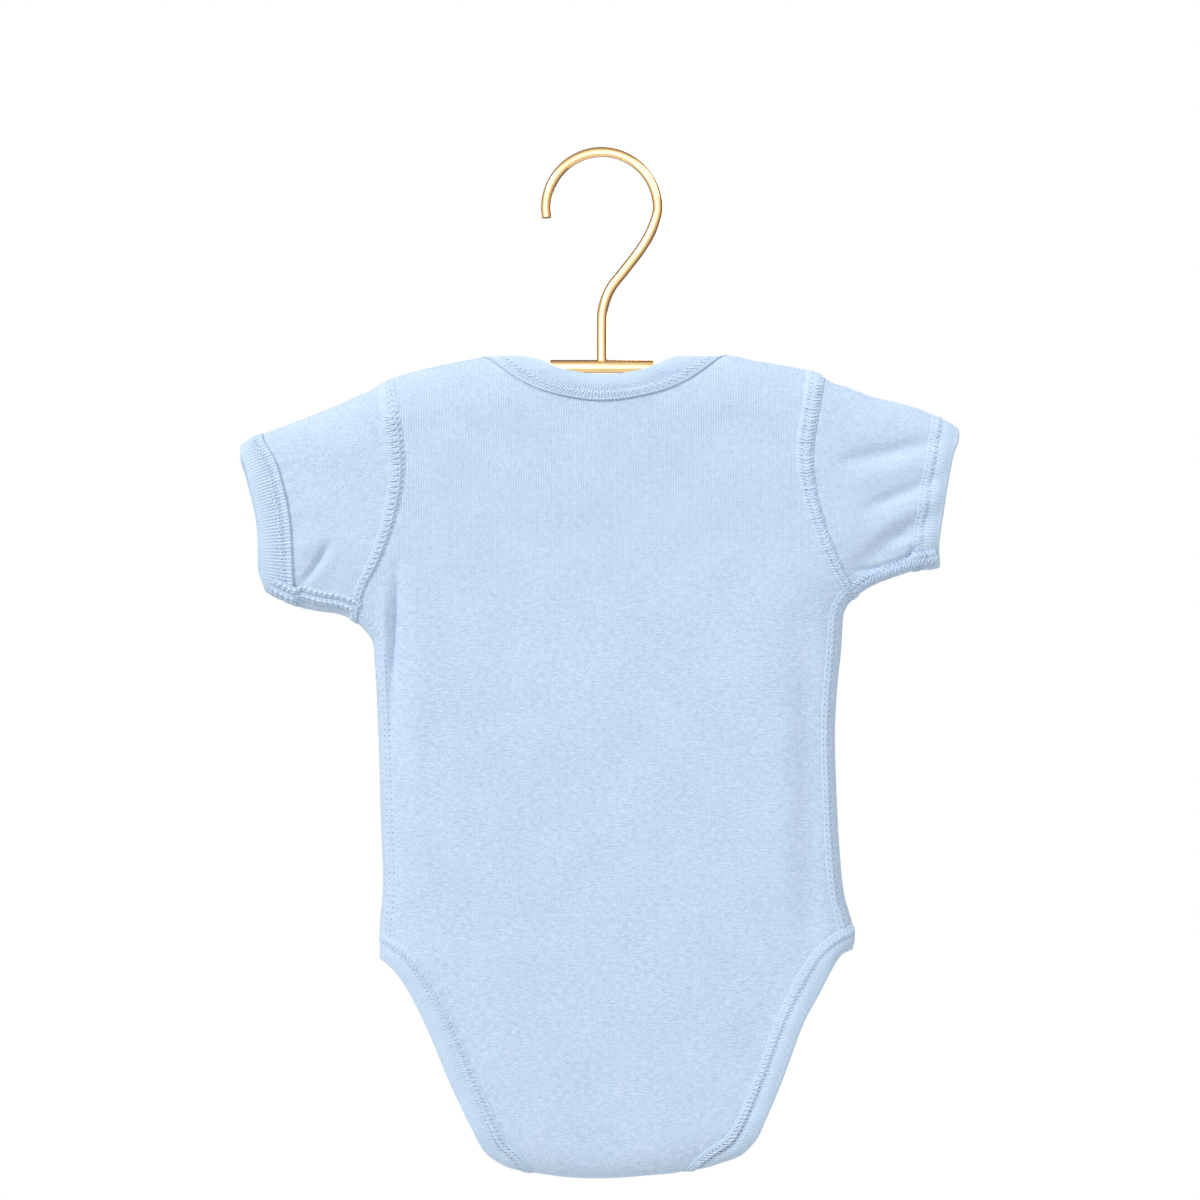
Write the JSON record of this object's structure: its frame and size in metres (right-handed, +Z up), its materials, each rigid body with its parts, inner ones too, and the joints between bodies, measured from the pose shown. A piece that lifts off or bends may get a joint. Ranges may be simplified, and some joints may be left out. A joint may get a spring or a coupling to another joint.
{
  "type": "baby onesie on a hanger",
  "caption": "Short-sleeved baby bodysuit with a lap-shoulder neck, rib bindings and a snap crotch, hung flat on a small brass hanger.",
  "frame": {"origin": "inside top of the hanger's hook, where a peg or rail carries it", "axes": "+Z up; +X to the right of someone who looks at the garment's back; the garment's back looks along -Y and its front along +Y"},
  "size_m": [0.3324, 0.0218, 0.4793],
  "materials": {
    "jersey": "soft pale blue cotton jersey with a slight nap",
    "rib": "pale blue cotton rib, wales across each band",
    "snap": "small nickel-plated snaps",
    "brass": "polished brass"
  },
  "bodies": {
    "root": {"back_panel": "jersey", "front_panel": "jersey", "sleeve_left": "jersey", "sleeve_right": "jersey", "back_neck_binding": "rib", "front_neck_binding": "rib", "cuff_binding_left": "rib", "cuff_binding_right": "rib", "leg_binding_left": "rib", "leg_binding_right": "rib", "snap_left": "snap", "snap_middle": "snap", "snap_right": "snap", "hanger_hook": "brass", "hanger_bar": "brass", "hanger_rod_left": "brass", "hanger_rod_right": "brass"}
  },
  "joints": []
}
